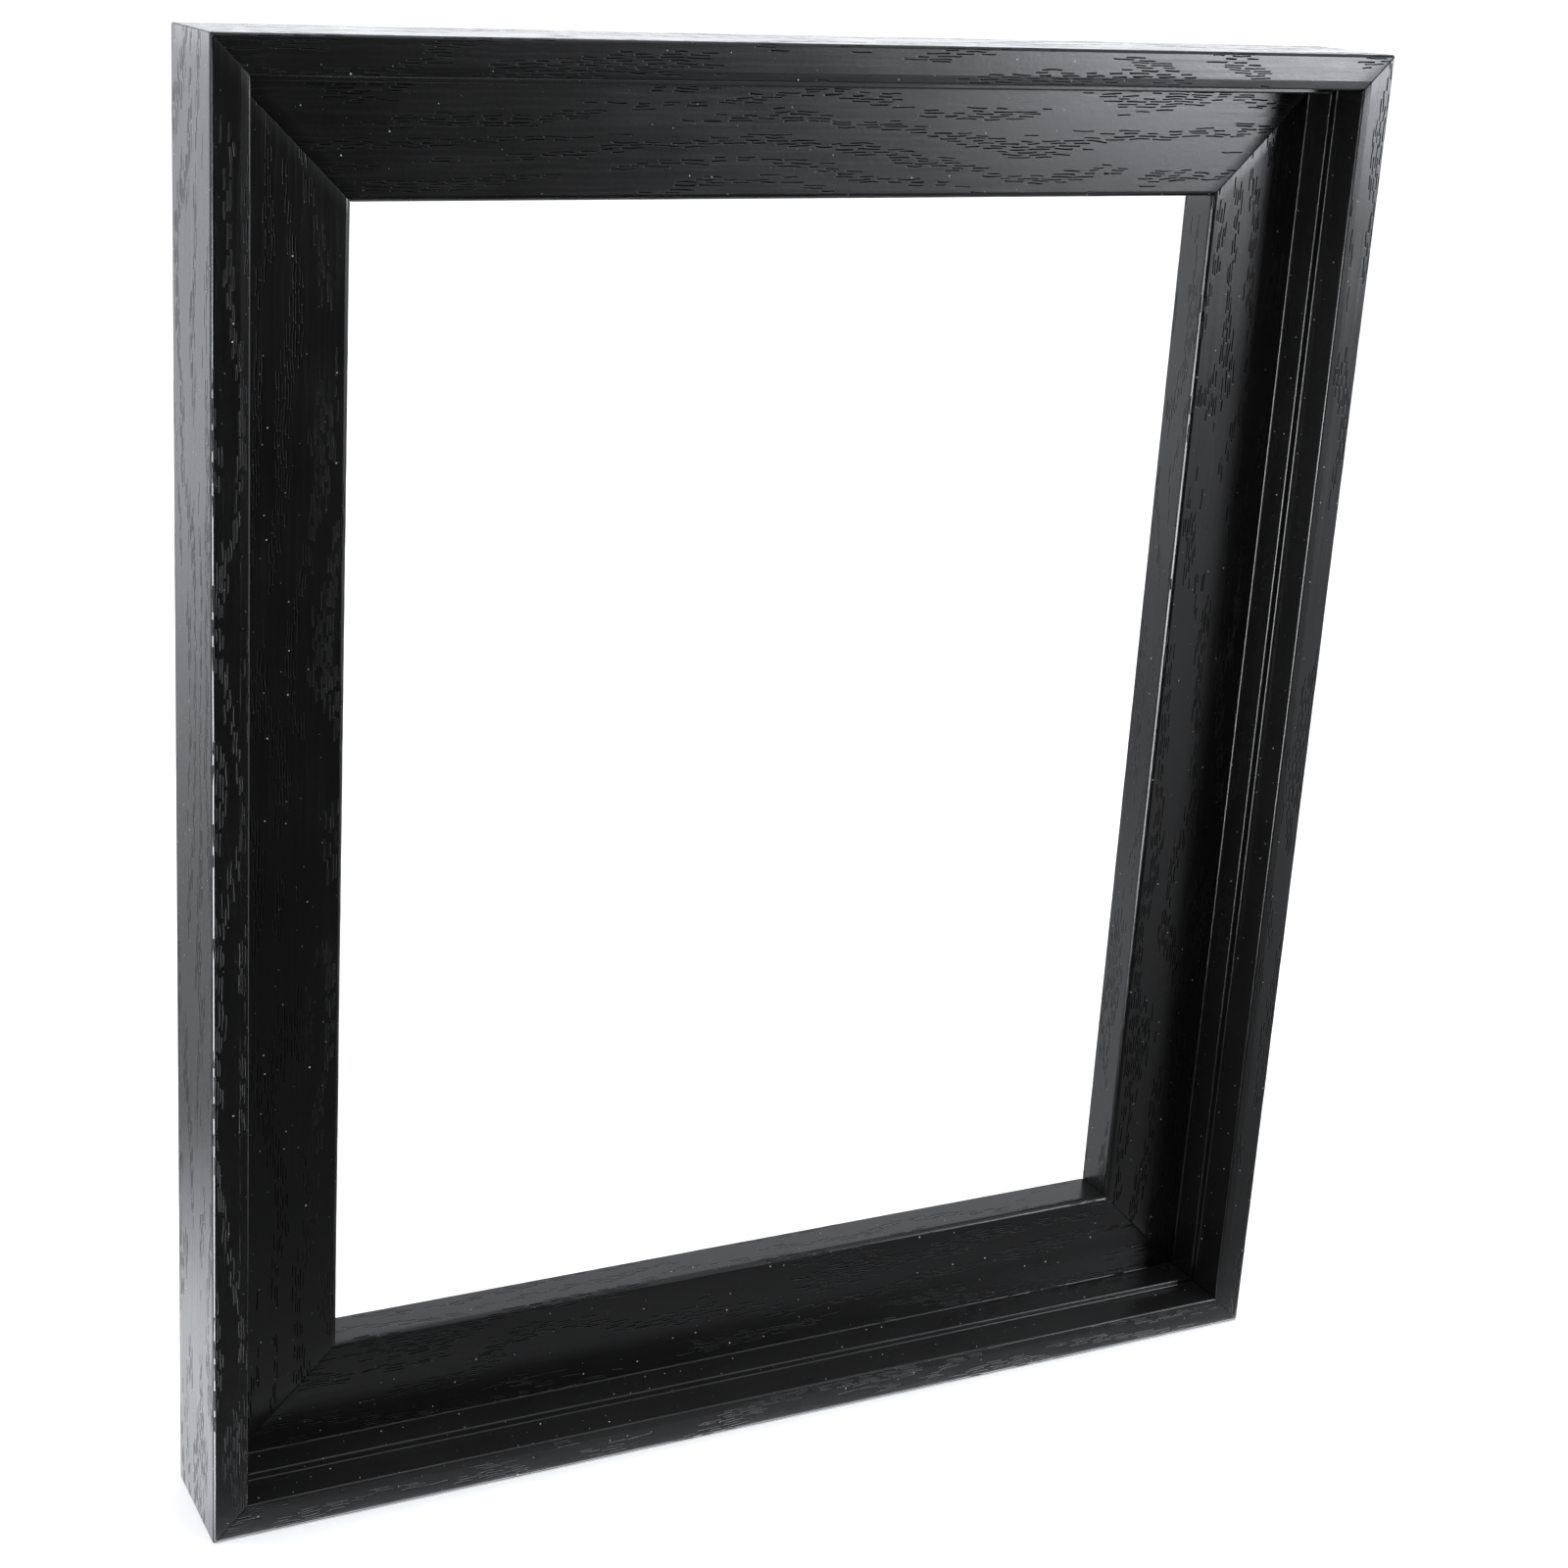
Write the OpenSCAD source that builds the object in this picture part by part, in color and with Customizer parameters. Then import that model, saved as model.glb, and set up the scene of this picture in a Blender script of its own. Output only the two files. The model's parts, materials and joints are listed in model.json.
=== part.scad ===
// Open-fronted shadow box frame: four mitred mouldings round a deep recess,
// with a flat ledge that a panel or canvas seats on and a window through the ledge.
// Millimetres. The front faces -Y and +Z is up. The origin is the middle of the
// bottom face: mid-width, mid-depth of the moulding, on the surface it stands on.

/* [Recess and window] */
// Width of the panel that the recess is cut for
panel_w = 254; // [200:1:500]
// Height of the panel that the recess is cut for
panel_h = 304.8; // [200:0.2:600]
// Gap left all round the panel
panel_gap = 7.5; // [3:0.5:15]
// Depth of the recess, from the front edge to the ledge
recess_d = 18; // [14:0.5:22]
// Width of the flat ledge that the panel seats on
ledge_w = 25.2; // [24:0.2:40]

/* [Moulding section] */
// Full depth of the moulding, front to back
frame_d = 29.5; // [29:0.5:40]
// Thickness of the side wall beside the ledge
wall_t = 10; // [9.5:0.5:14]
// Width of the front lip, where the wall is thinner
lip_w = 8.3; // [6.5:0.1:9]
// Depth at which the wall steps in from the lip's width to its full thickness
step_d = 9.7; // [5:0.1:12]
// Width of the slight bevel on the lip's front, beside the recess
bevel_w = 2.1; // [0.4:0.1:3]
// How far that bevel falls back at the recess
bevel_d = 0.15; // [0.1:0.05:1]
// Radius of the outer front edge
front_r = 0.8; // [0.3:0.1:2]
// Radius of the ledge's edge at the window
ledge_r = 1.3; // [0.5:0.1:3]
// Radius of the step's edge
step_r = 0.4; // [0.2:0.1:1]
// Radius of the recess's two inner corners, under the lip and beside the ledge
cove_r = 0.4; // [0.2:0.1:0.8]
// Radius of the two back edges
back_r = 0.5; // [0.3:0.1:2]

/* [Corner nails] */
// Length of a corner nail, along the moulding's depth
nail_h = 7; // [5:0.5:9]
// Length of each leg of a corner nail
nail_leg = 5; // [3:0.5:5]
// Thickness of a corner nail's steel strip
nail_t = 0.5; // [0.3:0.1:1]
// Depth of a nail's end below the back face, down its open slot
nail_set = 0.6; // [0.3:0.1:1.5]

/* [Hangers] */
// Distance of each ring's pivot below the top of the frame
hanger_drop = 95; // [60:1:120]
// Distance of each hanger's centre line in from the side of the frame
hanger_inset = 20; // [18:0.5:24]
// Width of the folded steel strap
strap_w = 9.5; // [8:0.5:11]
// Length of the strap from the ring's pivot to its rounded end
strap_l = 17; // [15:0.5:24]
// Thickness of the strap's steel sheet
sheet_t = 0.9; // [0.6:0.1:1.2]
// Diameter of the ring's wire
wire_d = 2.2; // [1.8:0.1:2.6]
// Width inside the ring
ring_in_w = 11.6; // [11.6:0.2:14]
// Length of the ring's straight sides
ring_arm = 3.8; // [3.5:0.1:8]
// Distance of the screw below the ring's pivot
screw_drop = 7; // [6.8:0.1:7.5]
// Length of the screw's shank behind its head
screw_l = 9.5; // [8:0.5:11]
// Diameter of the screw's shank
screw_d = 3.2; // [2.8:0.1:3.5]
// Diameter of the screw's head
head_d = 6.2; // [5:0.1:6.4]
// Height of the screw's head
head_h = 1.9; // [1.5:0.1:2.2]

/* [Wall bumpers] */
// Diameter of a wall bumper
bumper_d = 10; // [8:0.5:12]
// Height of a wall bumper
bumper_h = 3.2; // [2:0.1:4]
// Distance of each bumper's centre in from the two outer edges
bumper_inset = 17; // [15:0.5:20]

/* [Hidden] */

rail_w = wall_t + ledge_w;
frame_w = panel_w + 2 * (panel_gap + wall_t);
frame_h = panel_h + 2 * (panel_gap + wall_t);
front_y = -frame_d / 2;
back_y = frame_d / 2;

past = 1;            // how far a cutting shape runs past what it cuts
arc_fn = 48;         // facets of the moulding's rounded edges
round_fn = 40;       // facets of the small turned parts

// Corner nails stand at these distances in from both outer edges; the one in
// the thick side wall has a second nail stacked behind it.
nail_places = [4.2, 14.5, 25];
nail_stack_gap = 0.3;
nail_end = nail_set + nail_h;
nail_stack_end = nail_end + nail_stack_gap + nail_h;

// Ring and strap
eye_clear = 0.06;    // running clearance of the wire in the strap's eye
fold_gap = 0.1;      // gap between the strap's two layers
ring_clear = 0.3;    // gap between the lowered ring and the strap
wire_r = wire_d / 2;
eye_r = wire_r + eye_clear;
pivot_y = eye_r + sheet_t;
strap_t = 2 * sheet_t + fold_gap;
bow_r = ring_in_w / 2 + wire_r;
bend_r = 1.8;
ring_l = bend_r + ring_arm + bow_r;
ring_lean = asin((strap_t + ring_clear + wire_r - pivot_y) / ring_l);
hanger_x = frame_w / 2 - hanger_inset;
hanger_z = frame_h - hanger_drop;

WOOD = [0.045, 0.045, 0.045];
STEEL = [0.72, 0.73, 0.74];
ZINC = [0.78, 0.78, 0.76];
RUBBER = [0.12, 0.12, 0.12];

// What rounding takes off a shape's square corner. "into" points from the corner
// towards the rounding's centre, such as [1, 1].
module rounding(corner, into, r) {
    difference() {
        translate(corner)
            scale([into[0], into[1], 1])
                translate([-past, -past]) square(past + r);
        translate(corner + r * into) circle(r, $fn = arc_fn);
    }
}

// The moulding's cross-section: X is the depth behind the front edge and Y is
// the distance in from the outer side.
module rail_section() {
    difference() {
        square([frame_d, rail_w]);
        recess_section();
        rounding([0, 0], [1, 1], front_r);
        rounding([frame_d, 0], [-1, 1], back_r);
        rounding([frame_d, rail_w], [-1, -1], back_r);
        rounding([recess_d, rail_w], [1, -1], ledge_r);
        rounding([step_d, wall_t], [1, -1], step_r);
    }
}

// What the recess takes out of the moulding, from the bevel to the ledge.
module recess_section() {
    difference() {
        polygon([[-bevel_d, lip_w - 2 * bevel_w], [bevel_d, lip_w], [step_d, lip_w],
                 [step_d, wall_t], [recess_d, wall_t], [recess_d, rail_w + past],
                 [-bevel_d, rail_w + past]]);
        rounding([step_d, lip_w], [-1, 1], cove_r);
        rounding([recess_d, wall_t], [-1, 1], cove_r);
    }
}

// One moulding along X with its outer side down, mitred at both ends.
module rail(length) {
    intersection() {
        translate([-length / 2, front_y, 0])
            rotate([90, 0, 90])
                linear_extrude(length) rail_section();
        translate([0, back_y + past, 0])
            rotate([90, 0, 0])
                linear_extrude(frame_d + 2 * past)
                    polygon([[-length / 2, 0], [length / 2, 0],
                             [length / 2 - rail_w, rail_w], [rail_w - length / 2, rail_w]]);
    }
}

// One V-shaped corner nail, or its slot: "start" and "end" are depths below the
// back. The corner is at the origin with the frame towards +X and +Z.
module nail(place, start, end) {
    translate([place, back_y - start, place])
        rotate([90, 0, 0])
            linear_extrude(end - start)
                difference() {
                    square(nail_leg);
                    translate([nail_t, nail_t]) square(nail_leg);
                }
}

module corner_nails() {
    for (place = nail_places) nail(place, nail_set, nail_end);
    nail(nail_places[0], nail_end + nail_stack_gap, nail_stack_end);
}

// The nails are driven below the back face, so their slots stay open behind them.
module corner_slots() {
    for (place = nail_places) nail(place, -past, nail_end);
    nail(nail_places[0], -past, nail_stack_end);
}

// Puts a corner drawn at the origin into one corner of the frame.
module at_corner(side_x, side_z) {
    translate([side_x * frame_w / 2, 0, side_z > 0 ? frame_h : 0])
        mirror([side_x > 0 ? 1 : 0, 0, 0])
            mirror([0, 0, side_z > 0 ? 1 : 0])
                children();
}

// Puts a hanger drawn at its pivot's foot on the back of one side moulding.
module at_hanger(side_x) {
    translate([side_x * hanger_x, back_y, hanger_z]) children();
}

module all_slots() {
    for (side_x = [-1, 1], side_z = [-1, 1]) at_corner(side_x, side_z) corner_slots();
}

module screw_shank() {
    tip = screw_d;
    translate([0, strap_t, -screw_drop])
        rotate([90, 0, 0])
            rotate_extrude($fn = round_fn)
                polygon([[0, 0], [screw_d / 2, 0], [screw_d / 2, screw_l - tip], [0, screw_l]]);
}

module horizontal_rail(top) {
    color(WOOD)
        difference() {
            translate([0, 0, top ? frame_h : 0])
                mirror([0, 0, top ? 1 : 0]) rail(frame_w);
            all_slots();
        }
}

module side_rail(side_x) {
    color(WOOD)
        difference() {
            translate([side_x * frame_w / 2, 0, frame_h / 2])
                rotate([0, -side_x * 90, 0]) rail(frame_h);
            all_slots();
            at_hanger(side_x) screw_shank();
        }
}

// Steel strap folded round the ring's wire, with one screw hole.
module hanger_strap(side_x) {
    color(ZINC)
        at_hanger(side_x)
            difference() {
                translate([-strap_w / 2, 0, 0])
                    rotate([90, 0, 90])
                        linear_extrude(strap_w)
                            difference() {
                                union() {
                                    translate([pivot_y, 0]) circle(pivot_y, $fn = round_fn);
                                    translate([0, -strap_l]) square([sheet_t, strap_l]);
                                    translate([sheet_t + fold_gap, -strap_l])
                                        square([sheet_t, strap_l - eye_r]);
                                }
                                translate([pivot_y, 0]) circle(eye_r, $fn = round_fn);
                            }
                end_trim();
                translate([0, -past, -screw_drop])
                    rotate([-90, 0, 0])
                        cylinder(h = strap_t + 2 * past, d = screw_d, $fn = round_fn);
            }
}

// What rounds the strap's lower end.
module end_trim() {
    r = strap_w / 2;
    translate([0, strap_t + past, -strap_l])
        rotate([90, 0, 0])
            linear_extrude(strap_t + 2 * past)
                difference() {
                    translate([-r - past, -past]) square([strap_w + 2 * past, r + past]);
                    translate([0, r]) circle(r, $fn = round_fn);
                }
}

// D-shaped ring: the straight bar turns in the strap's eye and the bow hangs.
module hanger_ring(side_x) {
    bar = 2 * (bow_r - bend_r);
    color(STEEL)
        at_hanger(side_x)
            translate([0, pivot_y, 0])
                rotate([ring_lean, 0, 0]) {
                    translate([-bar / 2, 0, 0])
                        rotate([0, 90, 0]) cylinder(h = bar, r = wire_r, $fn = round_fn);
                    for (end = [-1, 1]) {
                        translate([end * bar / 2, 0, -bend_r])
                            rotate([90, 0, 0])
                                rotate([0, 0, end > 0 ? 0 : 90]) wire_arc(bend_r, 90);
                        translate([end * bow_r, 0, -bend_r - ring_arm])
                            cylinder(h = ring_arm, r = wire_r, $fn = round_fn);
                    }
                    translate([0, 0, -bend_r - ring_arm])
                        rotate([90, 0, 0]) rotate([0, 0, 180]) wire_arc(bow_r, 180);
                }
}

module wire_arc(r, turn) {
    rotate_extrude(angle = turn, $fn = 2 * round_fn)
        translate([r, 0]) circle(wire_r, $fn = round_fn);
}

// Pan-head wood screw with a cross recess.
module hanger_screw(side_x) {
    recess_w = 0.9;
    recess_l = 0.55 * head_d;
    color(ZINC)
        at_hanger(side_x) {
            screw_shank();
            translate([0, strap_t, -screw_drop])
                rotate([-90, 0, 0])
                    difference() {
                        rotate_extrude($fn = round_fn)
                            intersection() {
                                square([head_d / 2, head_h]);
                                translate([0, head_h - head_d]) circle(head_d, $fn = 2 * round_fn);
                            }
                        for (turn = [0, 90])
                            rotate([0, 0, turn])
                                translate([-recess_l / 2, -recess_w / 2, 0.4 * head_h])
                                    cube([recess_l, recess_w, head_h]);
                    }
        }
}

// Domed rubber pad with a flat top, near a bottom corner of the back.
module wall_bumper(side_x) {
    flat_r = 0.3 * bumper_d;
    dome_r = bumper_d / 2 - flat_r;
    color(RUBBER)
        translate([side_x * (frame_w / 2 - bumper_inset), back_y, bumper_inset])
            rotate([-90, 0, 0])
                rotate_extrude($fn = round_fn)
                    intersection() {
                        square([bumper_d / 2, bumper_h]);
                        union() {
                            square([flat_r, bumper_h]);
                            square([bumper_d / 2, bumper_h - dome_r]);
                            translate([flat_r, bumper_h - dome_r])
                                circle(dome_r, $fn = round_fn);
                        }
                    }
}

module nails_at(side_x, side_z) {
    color(STEEL) at_corner(side_x, side_z) corner_nails();
}

horizontal_rail(true);  // top_rail
horizontal_rail(false);  // bottom_rail
side_rail(-1);  // left_rail
side_rail(1);  // right_rail
nails_at(-1, 1);  // top_left_corner_nails
nails_at(1, 1);  // top_right_corner_nails
nails_at(-1, -1);  // bottom_left_corner_nails
nails_at(1, -1);  // bottom_right_corner_nails
hanger_strap(-1);  // left_hanger_strap
hanger_strap(1);  // right_hanger_strap
hanger_ring(-1);  // left_hanger_ring
hanger_ring(1);  // right_hanger_ring
hanger_screw(-1);  // left_hanger_screw
hanger_screw(1);  // right_hanger_screw
wall_bumper(-1);  // left_wall_bumper
wall_bumper(1);  // right_wall_bumper
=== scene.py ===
"""Looks of the shadow box frame: black oak-grain lacquer, plated hangers, a pale studio."""

import json
import math
import random

import bmesh
import bpy
from mathutils import Matrix, Vector


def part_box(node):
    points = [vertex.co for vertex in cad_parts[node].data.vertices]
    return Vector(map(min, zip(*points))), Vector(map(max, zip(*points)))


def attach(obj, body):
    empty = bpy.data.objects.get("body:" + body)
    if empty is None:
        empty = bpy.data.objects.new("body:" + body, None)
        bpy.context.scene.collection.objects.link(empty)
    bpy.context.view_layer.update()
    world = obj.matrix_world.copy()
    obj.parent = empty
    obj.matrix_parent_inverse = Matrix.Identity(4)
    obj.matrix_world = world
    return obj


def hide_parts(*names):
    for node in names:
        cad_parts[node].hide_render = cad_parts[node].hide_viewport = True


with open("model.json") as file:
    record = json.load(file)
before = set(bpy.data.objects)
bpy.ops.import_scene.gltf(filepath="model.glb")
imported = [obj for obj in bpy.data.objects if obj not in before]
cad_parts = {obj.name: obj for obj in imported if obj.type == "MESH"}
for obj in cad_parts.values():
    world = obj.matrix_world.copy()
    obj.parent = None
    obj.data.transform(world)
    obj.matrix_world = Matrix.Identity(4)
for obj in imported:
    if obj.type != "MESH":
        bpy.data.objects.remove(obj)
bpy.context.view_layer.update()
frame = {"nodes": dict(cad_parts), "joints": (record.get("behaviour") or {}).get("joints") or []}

MM = 0.001
MM_PER_M = 1000.0


# ---------------------------------------------------------------- objects

def in_scene(name, data):
    """A new object with this data, in the scene."""
    made = bpy.data.objects.new(name, data)
    bpy.context.scene.collection.objects.link(made)
    return made


def plain_data(mesh, name):
    """Turns a bmesh into mesh data and frees it."""
    data = bpy.data.meshes.new(name)
    mesh.to_mesh(data)
    mesh.free()
    return data


# ---------------------------------------------------------------- camera

# Solved from the photo's perspective.
CAMERA_PLACE = (-0.2865, -0.5253, 0.3716)
CAMERA_TURN = (-25.13, 17.0, 2.69)     # azimuth, elevation and roll, in degrees
SENSOR_MM, LENS_MM = 36, 60.5
SHIFT = (0.094, -0.0625)
CLIP = (0.01, 50)


def add_camera():
    lens = bpy.data.cameras.new("camera")
    lens.sensor_width, lens.lens = SENSOR_MM, LENS_MM
    lens.shift_x, lens.shift_y = SHIFT
    lens.clip_start, lens.clip_end = CLIP
    camera = in_scene("camera", lens)
    azimuth, elevation, roll = map(math.radians, CAMERA_TURN)
    back = Vector((math.sin(azimuth) * math.cos(elevation),
                   -math.cos(azimuth) * math.cos(elevation), math.sin(elevation)))
    camera.matrix_world = (Matrix.Translation(CAMERA_PLACE)
                           @ back.to_track_quat("Z", "Y").to_matrix().to_4x4()
                           @ Matrix.Rotation(roll, 4, "Z"))
    bpy.context.scene.camera = camera


add_camera()


# ---------------------------------------------------------------- node helpers

class Nodes:
    """A short way to write the node tree of a material or a world."""

    def __init__(self, owner):
        owner.use_nodes = True
        self.tree = owner.node_tree
        self.tree.nodes.clear()

    def link(self, source, target):
        self.tree.links.new(source, target)

    def put(self, target, value):
        if isinstance(value, bpy.types.NodeSocket):
            self.link(value, target)
        else:
            target.default_value = value

    def add(self, kind, **settings):
        node = self.tree.nodes.new("ShaderNode" + kind)
        for name, value in settings.items():
            setattr(node, name, value)
        return node

    def math(self, operation, *values):
        node = self.add("Math", operation=operation)
        for target, value in zip(node.inputs, values):
            self.put(target, value)
        return node.outputs[0]

    def vector(self, operation, *values):
        node = self.add("VectorMath", operation=operation)
        for target, value in zip(node.inputs, values):
            self.put(target, value)
        return node.outputs["Vector"]

    def ramp(self, value, low, high, to_low=0.0, to_high=1.0):
        """Eases from to_low to to_high as the value goes from low to high."""
        node = self.add("MapRange", interpolation_type="SMOOTHSTEP")
        for target, given in zip(node.inputs, (value, low, high, to_low, to_high)):
            self.put(target, given)
        return node.outputs[0]

    def noise(self, place, scale=1.0, detail=2.0, roughness=0.5):
        node = self.add("TexNoise")
        self.put(node.inputs["Vector"], place)
        node.inputs["Scale"].default_value = scale
        node.inputs["Detail"].default_value = detail
        node.inputs["Roughness"].default_value = roughness
        return node.outputs["Fac"]

    def cells(self, place, scale):
        """How far the nearest point of a flat scatter is, and that point's random colour."""
        node = self.add("TexVoronoi", voronoi_dimensions="2D")
        self.put(node.inputs["Vector"], place)
        node.inputs["Scale"].default_value = scale
        return node.outputs["Distance"], node.outputs["Color"]

    def split(self, vector):
        node = self.add("SeparateXYZ")
        self.put(node.inputs[0], vector)
        return tuple(node.outputs)

    def join(self, x, y, z=0.0):
        node = self.add("CombineXYZ")
        for target, value in zip(node.inputs, (x, y, z)):
            self.put(target, value)
        return node.outputs[0]

    def stretched(self, x, y, across_x, across_y, z=0.0):
        """A place whose unit is across_x along x and across_y along y."""
        return self.join(self.math("DIVIDE", x, across_x), self.math("DIVIDE", y, across_y), z)

    def mix(self, share, first, second):
        node = self.add("Mix", data_type="RGBA")
        for target, value in zip((node.inputs[0], node.inputs[6], node.inputs[7]),
                                 (share, first, second)):
            self.put(target, value)
        return node.outputs[2]

    def bump(self, height, distance, strength=1.0, normal=None):
        node = self.add("Bump")
        node.inputs["Strength"].default_value = strength
        node.inputs["Distance"].default_value = distance
        self.put(node.inputs["Height"], height)
        if normal is not None:
            self.link(normal, node.inputs["Normal"])
        return node.outputs[0]


class Finish(Nodes):
    """The node tree of a new material with one Principled shader."""

    def __init__(self, name):
        self.material = bpy.data.materials.new(name)
        super().__init__(self.material)
        self.shader = self.add("BsdfPrincipled")
        self.link(self.shader.outputs[0], self.add("OutputMaterial").inputs["Surface"])

    def set(self, **values):
        for name, value in values.items():
            self.put(self.shader.inputs[name.replace("_", " ")], value)


def grey(value, warm=0.0):
    """A grey, or with warm above 0 a slightly warm one."""
    return (value * (1 + warm), value, value * (1 - warm), 1)


# ---------------------------------------------------------------- wood finishes

# Lengths in this part are in millimetres.
PORE_L, PORE_ROW = 6.5, 0.62           # grain for one pore: along, and from row to row
RING_PITCH = 8.0                       # from one growth ring to the next
SWAY_L, SWAY_W, SWAY = 10.0, 4.0, 1.4  # the grain's wavering: its length, width and reach
DUST_CELL, DUST_SHARE = 5.0, 0.45      # size of a cell of dust, and the share with a speck in it

GRAINED_TONES = grey(0.0042), grey(0.0066, 0.01)
PLAIN_TONES = grey(0.009), grey(0.013, 0.01)
BACK_TONES, BACK_SCUFF = (grey(0.008), grey(0.022, 0.05)), grey(0.035, 0.12)
# The pores' colour is painted shade, darker than the lacquer around them.
PORE_SHADE, PALE_DUST = grey(0.0015), grey(0.75)


def pore_density(n, spot):
    """Share of cells with a pore at a spot: pores crowd along the growth rings."""
    x, y, _ = n.split(spot)
    slow = n.noise(n.stretched(x, y, 80.0, 26.0), detail=1.0)
    quick = n.noise(n.stretched(x, y, 20.0, 9.0, 3.3), detail=1.0)
    ring = n.math("MULTIPLY_ADD", slow, 5.0, n.math("DIVIDE", y, RING_PITCH))
    ring = n.math("MULTIPLY_ADD", quick, 0.6, ring)
    off_ring = n.math("ABSOLUTE", n.math("SUBTRACT", n.math("FRACT", ring), 0.5))
    on_ring = n.ramp(off_ring, 0.12, 0.3, 1.0, 0.0)
    patch = n.ramp(n.noise(n.stretched(x, y, 45.0, 9.0, 7.7), detail=1.0), 0.33, 0.48)
    return n.math("MULTIPLY", on_ring, patch)


def random_at(n, x, y):
    """Three random numbers for each pair of whole numbers."""
    node = n.add("TexWhiteNoise", noise_dimensions="2D")
    n.put(node.inputs["Vector"], n.join(x, y))
    return n.split(node.outputs["Color"])


def pores(n, x, y):
    """Short dark pores in rows along the grain, 1 on a pore and 0 off it."""
    across = n.math("DIVIDE", y, PORE_ROW)
    row = n.math("FLOOR", across)
    shift, lift, _ = random_at(n, row, 0.5)
    along = n.math("ADD", n.math("DIVIDE", x, PORE_L), shift)
    column = n.math("FLOOR", along)
    chance, length, place = random_at(n, column, row)
    middle = n.math("MULTIPLY_ADD", place, 0.14, 0.43)
    off = n.math("ABSOLUTE", n.math("SUBTRACT", n.math("FRACT", along), middle))
    half = n.math("MULTIPLY_ADD", length, 0.28, 0.2)
    in_length = n.ramp(n.math("SUBTRACT", off, half), -0.05, 0.03, 1.0, 0.0)
    middle = n.math("MULTIPLY_ADD", n.math("FRACT", n.math("ADD", lift, length)), 0.3, 0.35)
    off = n.math("ABSOLUTE", n.math("SUBTRACT", n.math("FRACT", across), middle))
    in_width = n.ramp(n.math("SUBTRACT", off, 0.2), -0.08, 0.08, 1.0, 0.0)
    at_x = n.math("MULTIPLY", n.math("SUBTRACT", n.math("ADD", column, 0.5), shift), PORE_L)
    at_y = n.math("MULTIPLY", n.math("ADD", row, 0.5), PORE_ROW)
    there = n.math("LESS_THAN", chance, pore_density(n, n.join(at_x, at_y)))
    return n.math("MULTIPLY", n.math("MULTIPLY", in_length, in_width), there)


def dust(n, place):
    """Specks of pale dust, most of them small and faint."""
    distance, colour = n.cells(place, 1 / DUST_CELL)
    chance, size, _ = n.split(colour)
    size = n.math("POWER", size, 3.0)
    edge = n.math("SUBTRACT", distance, n.math("MULTIPLY_ADD", size, 0.02, 0.016))
    there = n.math("LESS_THAN", chance, DUST_SHARE)
    strength = n.math("MULTIPLY", there, n.math("MULTIPLY_ADD", size, 0.75, 0.25))
    return n.math("MULTIPLY", n.ramp(edge, -0.008, 0.008, 1.0, 0.0), strength)


def grain_place(n):
    """Millimetres along and across the grain, made to waver a little."""
    uv = n.add("UVMap", uv_map="grain").outputs[0]
    x, y, _ = n.split(n.vector("MULTIPLY", uv, (MM_PER_M, MM_PER_M, 0.0)))
    sway = n.noise(n.stretched(x, y, SWAY_L, SWAY_W), detail=2.0)
    return x, n.math("MULTIPLY_ADD", sway, SWAY, y)


def lacquer(name, grained):
    """Satin black lacquer. With grain, the pores of open-grained oak show through it, darkened
    with painted shade.
    """
    n = Finish(name)
    x, y = grain_place(n)
    place = n.join(x, y)
    cloud = n.noise(place, 0.05, 3.0)
    fibre = n.noise(n.stretched(x, y, 12.0, 0.4), detail=3.0, roughness=0.6)
    peel = n.noise(place, 0.8)
    colour = n.mix(cloud, *(GRAINED_TONES if grained else PLAIN_TONES))
    rough = n.math("MULTIPLY_ADD", cloud, 0.1, 0.17)
    normal = n.bump(peel, 0.02 * MM, 0.5)
    normal = n.bump(fibre, 0.01 * MM, 0.3 if grained else 0.1, normal)
    if grained:
        pore = pores(n, x, y)
        streak = n.ramp(n.noise(n.stretched(x, y, 40.0, 0.8, 1.1), detail=2.0), 0.35, 0.75)
        normal = n.bump(n.math("SUBTRACT", 1.0, pore), 0.05 * MM, 1.0, normal)
        rough = n.math("MULTIPLY_ADD", streak, 0.06, rough)
        rough = n.math("MULTIPLY_ADD", pore, 0.3, rough)
        # Painted shade in the pores: their colour is darkened.
        colour = n.mix(pore, colour, PORE_SHADE)
        # Painted shade in the pores: each pore reflects less than the lacquer around it.
        n.set(Specular_IOR_Level=n.math("MULTIPLY_ADD", pore, -0.45, 0.5))
    speck = dust(n, place)
    n.set(Base_Color=n.mix(speck, colour, PALE_DUST),
          Roughness=n.math("MAXIMUM", rough, speck), Normal=normal)
    return n.material


def back_paint():
    """Thin matt black on the back, where the wood's fibres and sanding marks show."""
    n = Finish("back_paint")
    x, y = grain_place(n)
    place = n.join(x, y)
    fibre = n.noise(n.stretched(x, y, 26.0, 0.45), detail=4.0, roughness=0.65)
    cloud = n.noise(place, 0.03, 4.0)
    scuff = n.ramp(n.noise(n.stretched(x, y, 9.0, 2.2, 4.4), detail=4.0, roughness=0.7),
                   0.62, 0.72)
    pore = pores(n, x, y)
    colour = n.mix(n.math("MULTIPLY", cloud, fibre), *BACK_TONES)
    colour = n.mix(n.math("MULTIPLY", scuff, 0.5), colour, BACK_SCUFF)
    height = n.math("MULTIPLY_ADD", pore, -1.2, fibre)
    n.set(Base_Color=colour, Roughness=n.math("MULTIPLY_ADD", fibre, 0.2, 0.45),
          Normal=n.bump(height, 0.06 * MM, 0.8))
    return n.material


# ---------------------------------------------------------------- mouldings

LIP_W, LIP_BEVEL_W, LIP_BEVEL_D = 8.3 * MM, 2.1 * MM, 0.15 * MM
WALL_T, STEP_D, RECESS_D = 10 * MM, 9.7 * MM, 18 * MM
RAIL_W, FRAME_D = 35.2 * MM, 29.5 * MM

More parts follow.
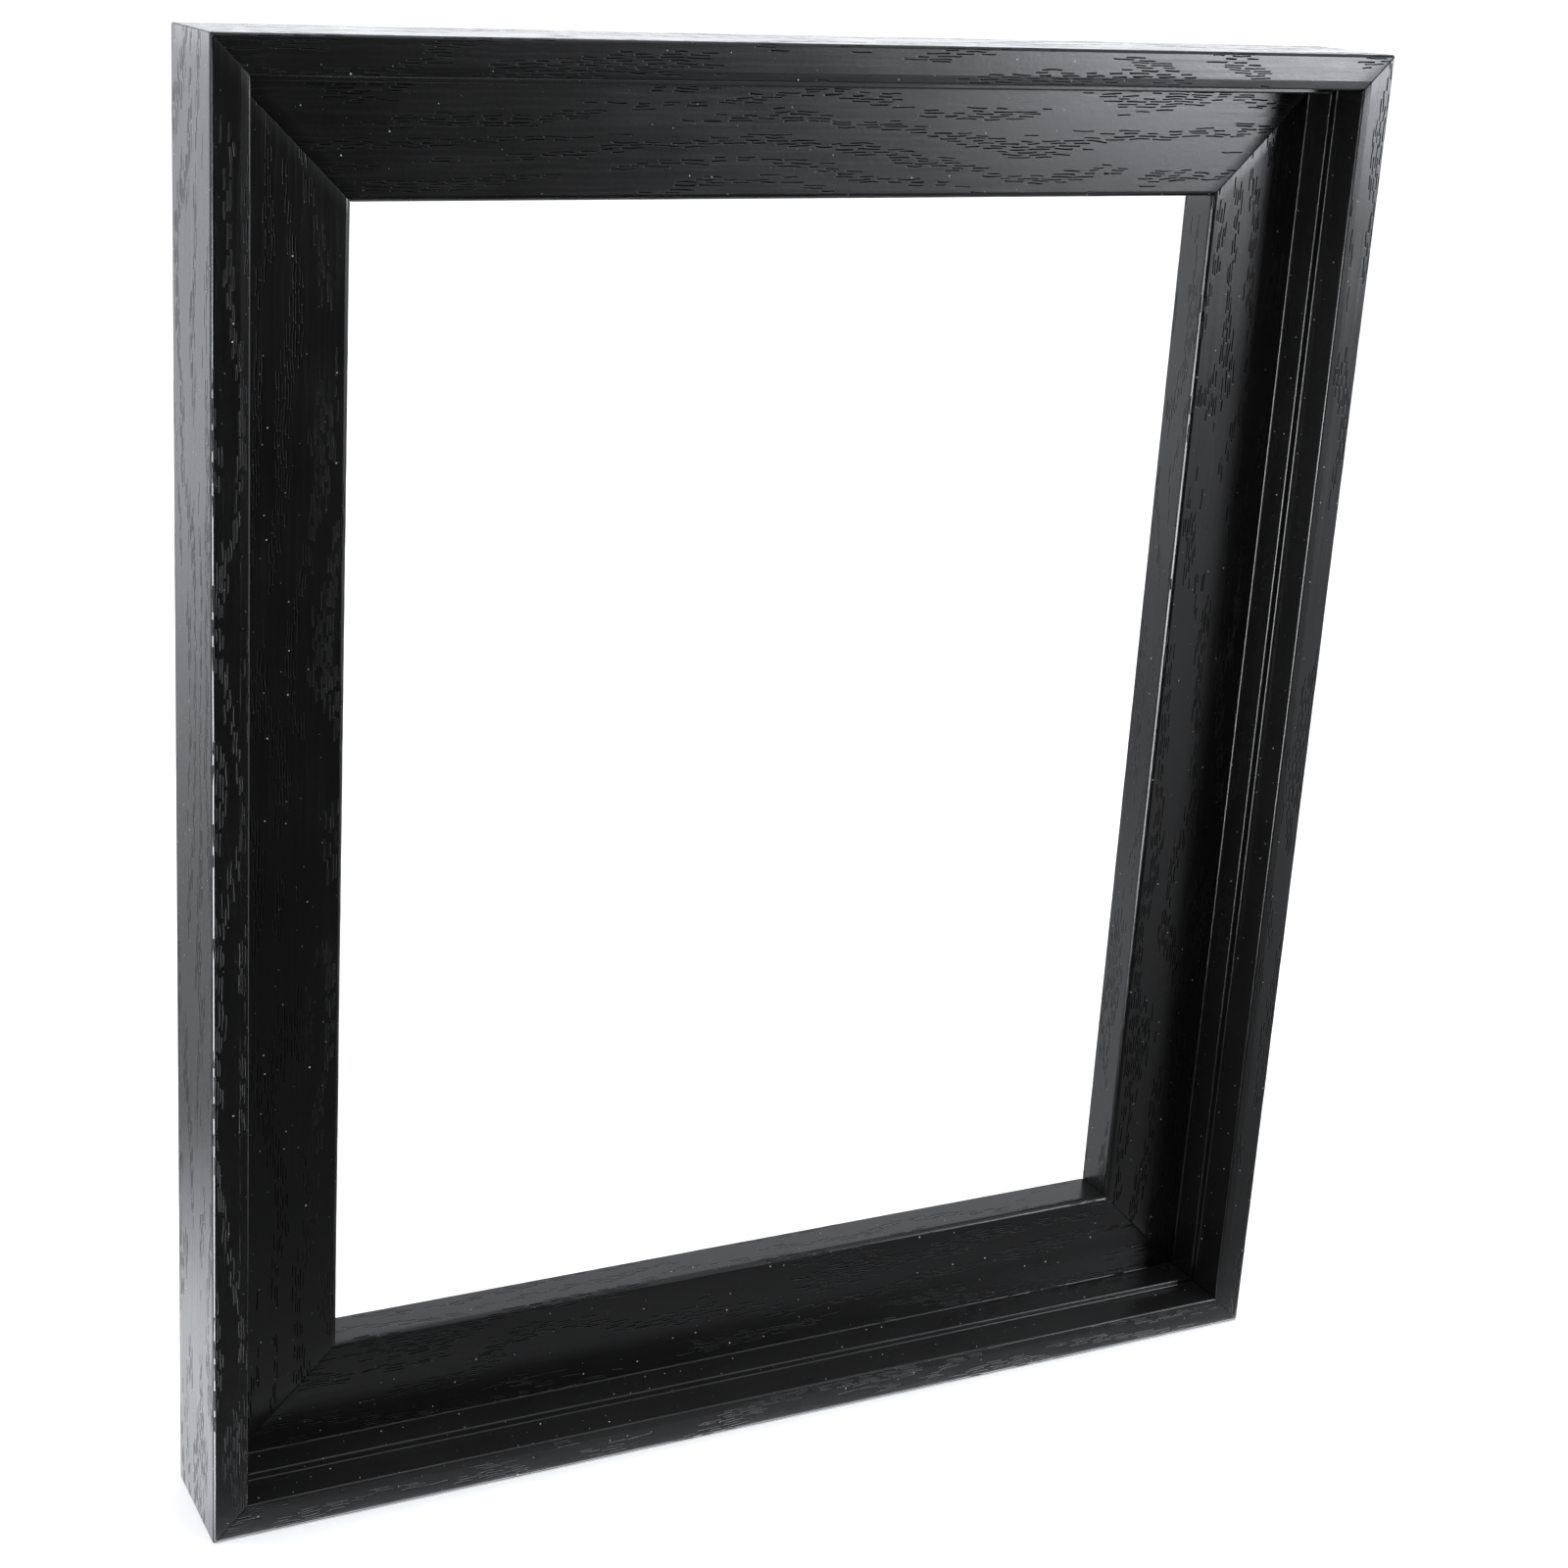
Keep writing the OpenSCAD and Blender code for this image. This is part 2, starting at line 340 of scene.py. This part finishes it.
# The section's corners: distance in from the outer side, depth behind the front,
# rounding radius, and the finish of the face that follows.
GRAIN, PLAIN, BACK = range(3)
SECTION = [
    (0, 0, 0.8 * MM, GRAIN),
    (LIP_W - LIP_BEVEL_W, 0, 0.35 * MM, GRAIN),
    (LIP_W, LIP_BEVEL_D, 0.5 * MM, PLAIN),
    (LIP_W, STEP_D, 0.4 * MM, PLAIN),
    (WALL_T, STEP_D, 0.4 * MM, PLAIN),
    (WALL_T, RECESS_D, 0.4 * MM, GRAIN),
    (RAIL_W, RECESS_D, 1.3 * MM, GRAIN),
    (RAIL_W, FRAME_D, 0.5 * MM, BACK),
    (0, FRAME_D, 0.5 * MM, GRAIN),
]
ARC_STEPS = 8
RING_GAP = 5 * MM          # distance between the cross-sections along a moulding
MITRE_GAP = 0.02 * MM      # what each moulding stops short of the mitre
MITRE_W, MITRE_DEPTH = 0.22 * MM, 0.22 * MM
ARRIS_WEAR = 0.09          # most wear of an arris, as a share of its radius
GRAIN_STEP = (0.61, 0.173) # how far along and across the grain moves between two mouldings
NAIL_LEG, NAIL_T = 5 * MM, 0.5 * MM


def section_points():
    """The rounded section as (point, outward normal, finish after it, corner, most wear)."""
    points = []
    for i, (across, depth, radius, finish) in enumerate(SECTION):
        corner = Vector((across, depth))
        into = (corner - Vector(SECTION[i - 1][:2])).normalized()
        out = (Vector(SECTION[(i + 1) % len(SECTION)][:2]) - corner).normalized()
        turn = math.atan2(into.x * out.y - into.y * out.x, into.dot(out))
        side = math.copysign(1, turn)
        start = corner - into * radius * math.tan(abs(turn) / 2)
        centre = start + Vector((-into.y, into.x)) * radius * side
        for step in range(ARC_STEPS + 1):
            share = step / ARC_STEPS
            way = Matrix.Rotation(turn * share, 2) @ into
            outward = Vector((way.y, -way.x))
            face = finish if share >= 0.5 else SECTION[i - 1][3]
            wear = ARRIS_WEAR * radius * math.sin(math.pi * share) if side > 0 else 0.0
            points.append((centre + outward * radius * side, outward, face, i, wear))
    return points


def rail_mesh(name, length, seed):
    """One moulding along X with its outer side down, both ends mitred, as a closed mesh."""
    draw = random.Random(seed)
    points = section_points()
    run = [0.0]
    for (a, *_), (b, *_) in zip(points, points[1:] + points[:1]):
        run.append(run[-1] + (b - a).length)
    count = max(2, round(length / RING_GAP))
    shares = [2 * i / count - 1 for i in range(count + 1)]
    edge = 2 * MITRE_W / length
    shares[1:1] = [-1 + edge]
    shares[-1:-1] = [1 - edge]

    mesh = bmesh.new()
    uv = mesh.loops.layers.uv.new("grain")
    rings = []
    for share in shares:
        ring = []
        worn = [draw.random() for _ in SECTION]
        for point, outward, _, corner, wear in points:
            sink = MITRE_DEPTH if abs(share) == 1 else worn[corner] * wear
            across, depth = point - outward * sink
            reach = length / 2 - across - MITRE_GAP
            ring.append(mesh.verts.new((share * reach, depth, across)))
        rings.append(ring)
    count = len(points)
    for first, second in zip(rings, rings[1:]):
        for i in range(count):
            j = (i + 1) % count
            face = mesh.faces.new((first[i], first[j], second[j], second[i]))
            face.material_index = points[i][2]
            face.smooth = True
            for loop, v in zip(face.loops, (run[i], run[i + 1], run[i + 1], run[i])):
                loop[uv].uv = (loop.vert.co.x + seed * GRAIN_STEP[0], v + seed * GRAIN_STEP[1])
    for ring, order in ((rings[0], -1), (rings[-1], 1)):
        cap = mesh.faces.new(ring[::order])
        cap.material_index = BACK
        for loop in cap.loops:
            loop[uv].uv = (loop.vert.co.x, loop.vert.co.z)
    bmesh.ops.recalc_face_normals(mesh, faces=mesh.faces)
    for e in mesh.edges:
        e.smooth = all(f.smooth for f in e.link_faces)
    return plain_data(mesh, name)


def cut_with(piece, cutter, keep=False):
    """Takes the cutter out of the piece for good."""
    cut = piece.modifiers.new("cut", "BOOLEAN")
    cut.operation = "DIFFERENCE"
    cut.solver = "EXACT"
    cut.object = cutter
    bake_modifiers(piece)
    if not keep:
        bpy.data.objects.remove(cutter)


def bake_modifiers(piece):
    graph = bpy.context.evaluated_depsgraph_get()
    made = bpy.data.meshes.new_from_object(piece.evaluated_get(graph))
    piece.modifiers.clear()
    piece.data = made


def new_piece(name, data, body, slot, replaced, *materials):
    piece = in_scene(name, data)
    for material in materials:
        data.materials.append(material)
    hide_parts(replaced)
    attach(piece, body)
    return piece


def even_normals(piece):
    """Keeps flat faces flat where they run into a rounded edge."""
    weigh = piece.modifiers.new("even_normals", "WEIGHTED_NORMAL")
    weigh.keep_sharp = True
    weigh.weight = 90


def slot_cutter(corner):
    """The open slots of one corner's nails, from each nail's front end out past the back."""
    nails = frame["nodes"][corner]
    mesh = bmesh.new()
    mesh.from_mesh(nails.data)
    bmesh.ops.remove_doubles(mesh, verts=mesh.verts, dist=0.001 * MM)
    deepest = {}
    for island in islands(mesh):
        low = Vector([min(v.co[i] for v in island) for i in range(3)])
        high = Vector([max(v.co[i] for v in island) for i in range(3)])
        key = tuple(round(c / MM, 1) for c in (low.x, low.z))
        if key not in deepest or low.y < deepest[key][0].y:
            deepest[key] = (low, high)
    mesh.free()
    cutter = bmesh.new()
    side_x = -1 if "left" in corner else 1
    side_z = 1 if "top" in corner else -1
    for low, high in deepest.values():
        elbow = Vector((low.x if side_x < 0 else high.x, low.y, high.z if side_z > 0 else low.z))
        outline = [(0, 0), (NAIL_LEG, 0), (NAIL_LEG, NAIL_T), (NAIL_T, NAIL_T),
                   (NAIL_T, NAIL_LEG), (0, NAIL_LEG)]
        ends = []
        for y in (low.y, cad_back + 1 * MM):
            ends.append([cutter.verts.new((elbow.x - side_x * a, y, elbow.z - side_z * b))
                         for a, b in outline])
        cutter.faces.new(ends[0])
        cutter.faces.new(ends[1][::-1])
        for i in range(len(outline)):
            j = (i + 1) % len(outline)
            cutter.faces.new((ends[0][j], ends[0][i], ends[1][i], ends[1][j]))
    bmesh.ops.recalc_face_normals(cutter, faces=cutter.faces)
    return in_scene("slots", plain_data(cutter, "slots"))


def islands(mesh):
    """The vertices of each separate part of a mesh."""
    left = set(mesh.verts)
    while left:
        grown, front = set(), [left.pop()]
        while front:
            v = front.pop()
            grown.add(v)
            for e in v.link_edges:
                other = e.other_vert(v)
                if other in left:
                    left.remove(other)
                    front.append(other)
        yield grown


cad_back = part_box("bottom_rail")[1].y
front_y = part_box("bottom_rail")[0].y
frame_w = 2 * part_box("bottom_rail")[1].x
frame_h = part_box("top_rail")[1].z

wood = lacquer("grained_lacquer", True), lacquer("plain_lacquer", False), back_paint()


def add_rail(node, length, turn, origin, seed, corners, screw=None):
    data = rail_mesh(node + "_piece", length, seed)
    data.transform(Matrix.Translation(origin) @ Matrix.Rotation(math.radians(turn), 4, "Y"))
    piece = new_piece(node + "_piece", data, "frame", "black_lacquer", node, *wood)
    for corner in corners:
        cut_with(piece, slot_cutter(corner))
    if screw:
        cut_with(piece, frame["nodes"][screw], keep=True)
    even_normals(piece)


add_rail("bottom_rail", frame_w, 0, (0, front_y, 0), 1,
         ("bottom_left_corner_nails", "bottom_right_corner_nails"))
add_rail("top_rail", frame_w, 180, (0, front_y, frame_h), 2,
         ("top_left_corner_nails", "top_right_corner_nails"))
add_rail("left_rail", frame_h, 90, (-frame_w / 2, front_y, frame_h / 2), 3,
         ("top_left_corner_nails", "bottom_left_corner_nails"), "left_hanger_screw")
add_rail("right_rail", frame_h, -90, (frame_w / 2, front_y, frame_h / 2), 4,
         ("top_right_corner_nails", "bottom_right_corner_nails"), "right_hanger_screw")


# ---------------------------------------------------------------- metal and rubber finishes

TARNISH = (0.30, 0.28, 0.25, 1)
STRAP_EASE, NAIL_EASE = 0.14 * MM, 0.05 * MM
BUMPER_ROUND, BUMPER_FOOT, BUMPER_DOME = 0.4, 0.15 * MM, 0.05 * MM   # the first is per radius


def object_place(n):
    """The place on the object in millimetres."""
    return n.vector("MULTIPLY", n.add("TexCoord").outputs["Object"], (MM_PER_M,) * 3)


def plated(name, tint, roughness, brushed):
    """Plated steel: a clouded tone, fine scratches and a soft peel in the plating."""
    n = Finish(name)
    place = object_place(n)
    cloud = n.noise(place, 0.35, 3.0)
    scratch = n.noise(n.vector("MULTIPLY", place, brushed), 1.0, 3.0, 0.7)
    pit = n.noise(place, 6.0, 2.0)
    worn = n.ramp(n.noise(place, 1.1, 4.0, 0.7), 0.55, 0.7)
    darker = tuple(c * 0.72 for c in tint[:3]) + (1,)
    colour = n.mix(n.ramp(cloud, 0.3, 0.7), darker, tint)
    colour = n.mix(n.math("MULTIPLY", worn, 0.25), colour, TARNISH)
    rough = n.math("MULTIPLY_ADD", cloud, 0.12, roughness - 0.06)
    rough = n.math("MULTIPLY_ADD", worn, 0.12, rough)
    normal = n.bump(scratch, 0.012 * MM, 0.6)
    n.set(Base_Color=colour, Metallic=1.0, Roughness=rough,
          Normal=n.bump(pit, 0.008 * MM, 0.5, normal))
    return n.material


def rubber():
    """Black rubber, pitted and a little fluffy with lint."""
    n = Finish("bumper_rubber")
    place = object_place(n)
    cloud = n.noise(place, 0.5, 4.0)
    pit = n.noise(place, 7.0, 3.0)
    colour = n.mix(cloud, grey(0.014), grey(0.028, 0.03))
    fluff = n.ramp(n.noise(place, 1.6, 4.0, 0.75), 0.62, 0.74)
    n.set(Base_Color=n.mix(n.math("MULTIPLY", fluff, 0.3), colour, grey(0.16)),
          Roughness=n.math("MULTIPLY_ADD", cloud, 0.25, 0.5),
          Normal=n.bump(pit, 0.02 * MM, 0.7))
    return n.material


# ---------------------------------------------------------------- hardware

TURNED_SIDES = 64
SHARP = math.radians(35)   # edges bent more than this are creased, or eased


def lathe(name, profile):
    """A closed turned solid. The profile is (radius, height) from the axis to the axis."""
    steps = TURNED_SIDES
    mesh = bmesh.new()
    rings = []
    for radius, height in profile:
        if radius == 0:
            rings.append([mesh.verts.new((0, 0, height))])
            continue
        rings.append([mesh.verts.new((radius * math.cos(math.tau * i / steps),
                                      radius * math.sin(math.tau * i / steps), height))
                      for i in range(steps)])
    for first, second in zip(rings, rings[1:]):
        for i in range(steps):
            j = (i + 1) % steps
            around = [first[i % len(first)], first[j % len(first)],
                      second[j % len(second)], second[i % len(second)]]
            mesh.faces.new(list(dict.fromkeys(around)))
    bmesh.ops.recalc_face_normals(mesh, faces=mesh.faces)
    return to_data(mesh, name)


def to_data(mesh, name):
    """Turns a bmesh into smooth-shaded mesh data, creased where faces meet sharply."""
    for face in mesh.faces:
        face.smooth = True
    for e in mesh.edges:
        e.smooth = len(e.link_faces) == 2 and e.calc_face_angle() < SHARP
    return plain_data(mesh, name)


def eased(node, name, ease, segments=3):
    """The CAD node's own shape with its sharp edges eased."""
    mesh = bmesh.new()
    mesh.from_mesh(frame["nodes"][node].data)
    bmesh.ops.remove_doubles(mesh, verts=mesh.verts, dist=0.002 * MM)
    bmesh.ops.dissolve_limit(mesh, angle_limit=math.radians(1), verts=mesh.verts,
                             edges=mesh.edges)
    sharp = [e for e in mesh.edges
             if len(e.link_faces) == 2 and e.calc_face_angle() > SHARP]
    bmesh.ops.bevel(mesh, geom=sharp, offset=ease, segments=segments, profile=0.5,
                    affect="EDGES", clamp_overlap=True)
    bmesh.ops.recalc_face_normals(mesh, faces=mesh.faces)
    return to_data(mesh, name)


WIRE_R, RING_IN_W, RING_ARM, BEND_R = 1.1 * MM, 11.6 * MM, 3.8 * MM, 1.8 * MM
BOW_R = RING_IN_W / 2 + WIRE_R
BAR_PARTS, BEND_PARTS, ARM_PARTS, BOW_PARTS = 12, 10, 4, 48   # points along the ring's wire
WIRE_SIDES = 32
HEAD_R, HEAD_H, SHANK_R, SHANK_L = 3.1 * MM, 1.9 * MM, 1.6 * MM, 9.5 * MM
HEAD_RIM = 0.35 * HEAD_H   # height of the head's straight rim, and of the slot's bottom
SCREW_TURNS = {"left": 27, "right": 68}    # degrees that each screw happens to stand at


def ring_path():
    """Points of the ring's centre line, hanging down from the pivot, and closed."""
    bar, bend = BOW_R - BEND_R, 90 / BEND_PARTS
    path = [Vector((bar * (2 * i / BAR_PARTS - 1), 0, 0)) for i in range(BAR_PARTS)]
    for i in range(BEND_PARTS + 1):
        a = math.radians(90 - bend * i)
        path.append(Vector((bar + BEND_R * math.cos(a), 0, -BEND_R + BEND_R * math.sin(a))))
    path += [Vector((BOW_R, 0, -BEND_R - RING_ARM * i / ARM_PARTS)) for i in range(1, ARM_PARTS)]
    for i in range(BOW_PARTS + 1):
        a = -math.pi * i / BOW_PARTS
        path.append(Vector((BOW_R * math.cos(a), 0,
                            -BEND_R - RING_ARM + BOW_R * math.sin(a))))
    path += [Vector((-BOW_R, 0, -BEND_R - RING_ARM * (1 - i / ARM_PARTS)))
             for i in range(1, ARM_PARTS)]
    for i in range(BEND_PARTS):
        a = math.radians(180 - bend * i)
        path.append(Vector((-bar + BEND_R * math.cos(a), 0, -BEND_R + BEND_R * math.sin(a))))
    return path


def ring_data(name, pivot, lean):
    """The ring's wire as one closed tube, hung on the pivot and leaning out."""
    path, steps = ring_path(), WIRE_SIDES
    along_y = Vector((0, 1, 0))
    mesh = bmesh.new()
    rings = []
    for i, point in enumerate(path):
        way = (path[(i + 1) % len(path)] - path[i - 1]).normalized()
        side = way.cross(along_y)
        turns = [math.tau * k / steps for k in range(steps)]
        rings.append([mesh.verts.new(point + WIRE_R * (math.cos(a) * side + math.sin(a) * along_y))
                      for a in turns])
    for i, first in enumerate(rings):
        second = rings[(i + 1) % len(rings)]
        for k in range(steps):
            j = (k + 1) % steps
            mesh.faces.new((first[k], first[j], second[j], second[k]))
    bmesh.ops.recalc_face_normals(mesh, faces=mesh.faces)
    mesh.transform(Matrix.Translation(pivot) @ Matrix.Rotation(lean, 4, "X"))
    return to_data(mesh, name)


def head_profile():
    """The pan head's dome over a short straight rim, down to the shank and its point."""
    rise, ease = HEAD_H - HEAD_RIM, 0.1 * MM
    dome = [(HEAD_R * math.cos(math.radians(a)), HEAD_RIM + rise * math.sin(math.radians(a)))
            for a in range(0, 90, 6)]
    return ([(0, -SHANK_L), (SHANK_R, -SHANK_L + 2 * SHANK_R), (SHANK_R, 0), (HEAD_R - ease, 0),
             (HEAD_R, ease)] + dome + [(0, HEAD_H)])


def driver_slot_cutter(place):
    """One tapered slot, long in Y before it is placed: it narrows from above the head down."""
    mesh = bmesh.new()
    corners = []
    for z, half_width, half_length in ((HEAD_RIM, 0.3 * MM, 0.9 * MM),
                                       (HEAD_H + 0.3 * MM, 0.5 * MM, 1.9 * MM)):
        corners += [mesh.verts.new((sx * half_width, sy * half_length, z))
                    for sx, sy in ((1, -1), (1, 1), (-1, 1), (-1, -1))]
    for face in ((3, 2, 1, 0), (4, 5, 6, 7), (0, 1, 5, 4), (1, 2, 6, 5), (2, 3, 7, 6),
                 (3, 0, 4, 7)):
        mesh.faces.new([corners[i] for i in face])
    mesh.transform(place)
    return in_scene("driver_slot", plain_data(mesh, "driver_slot"))


def add_hanger(side, nickel, zinc):
    pivot = next(Vector(j["pos_m"]) for j in frame["joints"] if j["name"] == side + "_ring_swing")
    ring_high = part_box(side + "_hanger_ring")[1]
    reach = BEND_R + RING_ARM + BOW_R
    lean = math.asin((ring_high.y - WIRE_R - pivot.y) / reach)
    name = side + "_hanger_ring"
    new_piece(name + "_piece", ring_data(name + "_piece", pivot, lean), side + "_ring",
              "ring_steel", name, nickel)

    name = side + "_hanger_strap"
    piece = new_piece(name + "_piece", eased(name, name + "_piece", STRAP_EASE), "frame",
                      "zinc_plate", name, zinc)
    even_normals(piece)

    name = side + "_hanger_screw"
    low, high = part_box(name)
    seat = Vector(((low.x + high.x) / 2, high.y - HEAD_H, (low.z + high.z) / 2))
    place = (Matrix.Translation(seat) @ Matrix.Rotation(math.radians(-90), 4, "X")
             @ Matrix.Rotation(math.radians(SCREW_TURNS[side]), 4, "Z"))
    data = lathe(name + "_piece", head_profile())
    data.transform(place)
    piece = new_piece(name + "_piece", data, "frame", "zinc_plate", name, zinc)
    cut_with(piece, driver_slot_cutter(place))
    even_normals(piece)


def add_bumper(side, material):
    name = side + "_wall_bumper"
    low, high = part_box(name)
    radius, height = (high.x - low.x) / 2, high.y - low.y
    round_r = BUMPER_ROUND * radius
    profile = [(0, 0), (radius - BUMPER_FOOT, 0), (radius, BUMPER_FOOT)]
    profile += [(radius - round_r * (1 - math.cos(math.radians(a))),
                 height - round_r * (1 - math.sin(math.radians(a)))) for a in range(0, 91, 9)]
    profile += [(0, height - BUMPER_DOME)]
    data = lathe(name + "_piece", profile)
    data.transform(Matrix.Translation(((low.x + high.x) / 2, low.y, (low.z + high.z) / 2))
                   @ Matrix.Rotation(math.radians(-90), 4, "X"))
    piece = new_piece(name + "_piece", data, "frame", "bumper_rubber", name, material)
    even_normals(piece)


def add_nails(corner, material):
    piece = new_piece(corner + "_piece", eased(corner, corner + "_piece", NAIL_EASE, 2), "frame",
                      "nail_steel", corner, material)
    even_normals(piece)


nickel = plated("ring_nickel", (0.72, 0.71, 0.68, 1), 0.2, (0.5, 3.0, 0.5))
zinc = plated("zinc_plate", (0.66, 0.67, 0.68, 1), 0.34, (0.4, 4.0, 4.0))
bright_steel = plated("nail_steel", (0.50, 0.49, 0.48, 1), 0.4, (4.0, 0.4, 4.0))
pad = rubber()
for side in ("left", "right"):
    add_hanger(side, nickel, zinc)
    add_bumper(side, pad)
    for level in ("top", "bottom"):
        add_nails(f"{level}_{side}_corner_nails", bright_steel)


# ---------------------------------------------------------------- studio

COOL = (0.94, 0.96, 1.0, 1)   # the studio light's tint
BACKDROP = 0.92       # how bright the pale surroundings are
HORIZON = 1.7         # how much brighter the sweep is just above the floor behind
ROOM = 0.025          # how bright the unlit room in front is
EDGE_SHINE = 26.0     # how bright the strip of floor at the left is, in glossy rays only
FLOOR_HALF = 6        # metres from the floor's middle to its side
FLOOR_SEEN = 0.9      # how pale the floor is to the camera
FLOOR_LIFT = 0.35     # and how much it glows to it
TINY = 0.001          # keeps a quotient finite

# What reflections see, as the (from, to) that each change runs over. In the world, by the
# direction's slant to the right, its height and its share to the back:
WORLD_RIGHT, WORLD_LEFT = (0.3, 0.75), (-2.5, -0.6)
WORLD_ABOVE, WORLD_BEHIND = (0.35, 0.9), (-0.15, 0.1)
HORIZON_RANGE = (0.0, 0.35)
# In front on the floor, by slant or in metres:
NEAR_SHINE, NEAR_FALL = 0.55, 0.025          # the glow at the object, and metres to half of it
FLOOR_RIGHT, RIGHT_GLOW, SET_BACK = (0.2, 0.6), 0.8, 0.55
STRIP_START, STRIP_END, STRIP_REACH = (0.2, 0.35), (0.9, 1.2), (1.2, 1.8)
# Beside and behind on the floor, in metres:
SIDE_RANGE, SIDE_GLOW = (0.06, 0.22), (1.9, 0.45)
FAR_RANGE, FAR_GLOW = (0.25, 1.2), (0.0, 0.85)
BEHIND_RANGE, FRONT_BLEND = (-0.16, -0.12), 0.02
# Each softbox: its centre, what it faces, its width and height, and its radiance.
SOFTBOXES = {
    "key": ((0.95, -0.72, 0.385), (0.0, 0.0, 0.385), 0.78, 0.27, 15.0),
    "overhead": ((-0.3, 0.3, 1.8), (0.0, 0.0, 0.1), 1.4, 1.4, 1.8),
}


def slant_of(n, x, ahead):
    """How far to the right a direction or place is, for each unit that it is ahead."""
    return n.math("DIVIDE", x, n.math("MAXIMUM", ahead, TINY))


def add_world():
    """White to the camera. In reflections it is pale, but for the unlit room in front."""
    world = bpy.data.worlds.new("studio")
    bpy.context.scene.world = world
    n = Nodes(world)
    background = n.add("Background")
    n.link(background.outputs[0], n.add("OutputWorld").inputs["Surface"])
    x, y, z = n.split(n.add("TexCoord").outputs["Generated"])
    ahead = n.math("MULTIPLY", y, -1.0)
    right = n.ramp(slant_of(n, x, ahead), *WORLD_RIGHT)
    left = n.ramp(slant_of(n, x, ahead), *WORLD_LEFT, 1.0, 0.0)
    above = n.ramp(z, *WORLD_ABOVE)
    behind = n.ramp(y, *WORLD_BEHIND)
    lit = n.math("MAXIMUM", n.math("MAXIMUM", right, left), n.math("MAXIMUM", above, behind))
    pale = n.math("MULTIPLY_ADD", lit, BACKDROP - ROOM, ROOM)
    low_down = n.ramp(n.math("ABSOLUTE", z), *HORIZON_RANGE, HORIZON, 0.0)
    band = n.math("MULTIPLY", low_down, behind)
    seen = n.add("LightPath").outputs["Is Camera Ray"]
    n.put(background.inputs["Color"], n.mix(seen, COOL, grey(1.0)))
    n.put(background.inputs["Strength"], n.math("MAXIMUM", n.math("ADD", pale, band), seen))


def add_floor():
    """Plain and pale to the camera. Every other ray sees a glow that changes with the place:
    tuned so that the lacquer mirrors what it does in the photo."""
    mesh = bmesh.new()
    bmesh.ops.create_grid(mesh, x_segments=1, y_segments=1, size=FLOOR_HALF)
    data = plain_data(mesh, "floor")
    floor = in_scene("floor", data)
    floor.location.z = -0.1 * MM
    material = bpy.data.materials.new("floor")
    n = Nodes(material)
    matt = n.add("BsdfDiffuse")
    matt.inputs["Color"].default_value = grey(FLOOR_SEEN)
    lift = n.add("Emission")
    lift.inputs["Strength"].default_value = FLOOR_LIFT
    bright = n.add("AddShader")
    n.link(matt.outputs[0], bright.inputs[0])
    n.link(lift.outputs[0], bright.inputs[1])

    x, y, _ = n.split(n.add("TexCoord").outputs["Object"])
    out_x = n.math("MAXIMUM", n.math("SUBTRACT", n.math("ABSOLUTE", x), frame_w / 2), 0.0)
    ahead = n.math("MAXIMUM", n.math("SUBTRACT", front_y, y), 0.0)
    near_front = n.math("DIVIDE", NEAR_SHINE, n.math("MULTIPLY_ADD", ahead, 1 / NEAR_FALL, 1.0))
    right = n.ramp(slant_of(n, x, n.math("ADD", ahead, SET_BACK)), *FLOOR_RIGHT)
    in_front = n.math("ADD", n.math("MULTIPLY_ADD", right, RIGHT_GLOW, ROOM), near_front)
    past_left = n.math("MAXIMUM", n.math("SUBTRACT", -frame_w / 2, x), TINY)
    slant = n.math("DIVIDE", ahead, past_left)
    strip = n.math("MULTIPLY", n.ramp(slant, *STRIP_START), n.ramp(slant, *STRIP_END, 1.0, 0.0))
    reach = n.ramp(past_left, *STRIP_REACH, EDGE_SHINE, 0.0)
    shine = n.math("MULTIPLY", n.math("MULTIPLY", strip, reach),
                   n.add("LightPath").outputs["Is Glossy Ray"])
    in_front = n.math("ADD", in_front, shine)
    away = n.math("SQRT", n.math("ADD", n.math("MULTIPLY", out_x, out_x),
                                 n.math("MULTIPLY", y, y)))
    near_side = n.ramp(away, *SIDE_RANGE, *SIDE_GLOW)
    at_back = n.math("ADD", near_side, n.ramp(away, *FAR_RANGE, *FAR_GLOW))
    behind = n.ramp(x, *BEHIND_RANGE)
    at_back = n.math("ADD", n.math("MULTIPLY", at_back, n.math("SUBTRACT", 1.0, behind)), behind)
    glow = n.add("Mix")
    n.put(glow.inputs[0], n.ramp(y, front_y - FRONT_BLEND, front_y + FRONT_BLEND))
    n.put(glow.inputs[2], in_front)
    n.put(glow.inputs[3], at_back)
    light = n.add("Emission")
    light.inputs["Color"].default_value = COOL
    n.put(light.inputs["Strength"], glow.outputs[0])
    both = n.add("MixShader")
    n.put(both.inputs[0], n.add("LightPath").outputs["Is Camera Ray"])
    n.link(light.outputs[0], both.inputs[1])
    n.link(bright.outputs[0], both.inputs[2])
    n.link(both.outputs[0], n.add("OutputMaterial").inputs["Surface"])
    material.cycles.emission_sampling = "NONE"
    data.materials.append(material)


def add_softbox(name, centre, towards, width, height, radiance):
    data = bpy.data.lights.new(name, "AREA")
    data.shape = "RECTANGLE"
    data.size, data.size_y = width, height
    data.color = COOL[:3]
    data.energy = radiance * math.pi * width * height
    light = in_scene(name, data)
    light.location = centre
    light.rotation_mode = "QUATERNION"
    light.rotation_quaternion = (Vector(towards) - Vector(centre)).to_track_quat("-Z", "Y")
    light.visible_camera = False


add_world()
add_floor()
for name, settings in SOFTBOXES.items():
    add_softbox(name, *settings)

bpy.context.scene.view_settings.view_transform = "Standard"
